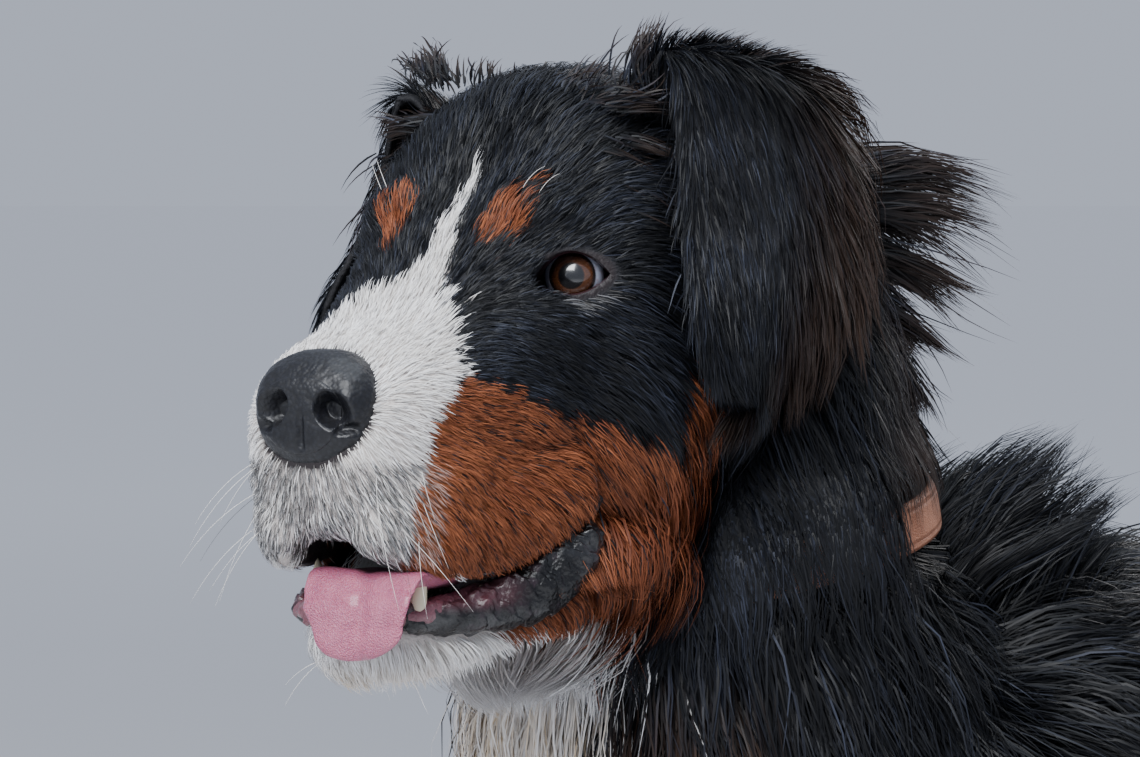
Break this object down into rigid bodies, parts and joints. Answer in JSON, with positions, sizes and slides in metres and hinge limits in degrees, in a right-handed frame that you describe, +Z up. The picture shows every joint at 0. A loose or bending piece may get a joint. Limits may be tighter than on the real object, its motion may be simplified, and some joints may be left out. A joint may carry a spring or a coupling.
{
  "type": "bernese mountain dog",
  "caption": "Life-size standing mountain dog with a long tricolour coat, head turned to its left, mouth a little open, and a plain leather collar.",
  "frame": {"origin": "on the floor, under the middle of the whole dog", "axes": "+Z up, the dog faces -Y and its left side is +X"},
  "size_m": [0.3512, 1.0994, 0.9096],
  "materials": {
    "black_coat": "long glossy black hair",
    "rust_coat": "short rust-brown hair",
    "white_coat": "soft white hair",
    "nose_leather": "moist, pebbled black nose skin",
    "eye": "wet, clear over a dark brown iris",
    "tongue": "moist pink",
    "collar_leather": "worn tan leather"
  },
  "bodies": {
    "root": {"collar": "collar_leather", "head": "black_coat", "left_ear": "black_coat", "left_eye": "eye", "left_forearm": "rust_coat", "left_forepaw": "white_coat", "left_hindpaw": "white_coat", "left_pastern": "rust_coat", "left_shank": "rust_coat", "left_thigh": "black_coat", "left_upper_arm": "black_coat", "lower_jaw": "white_coat", "neck": "black_coat", "nose": "nose_leather", "right_ear": "black_coat", "right_eye": "eye", "right_forearm": "rust_coat", "right_forepaw": "white_coat", "right_hindpaw": "white_coat", "right_pastern": "rust_coat", "right_shank": "rust_coat", "right_thigh": "black_coat", "right_upper_arm": "black_coat", "tail": "black_coat", "tongue": "tongue", "torso": "black_coat"}
  },
  "joints": []
}
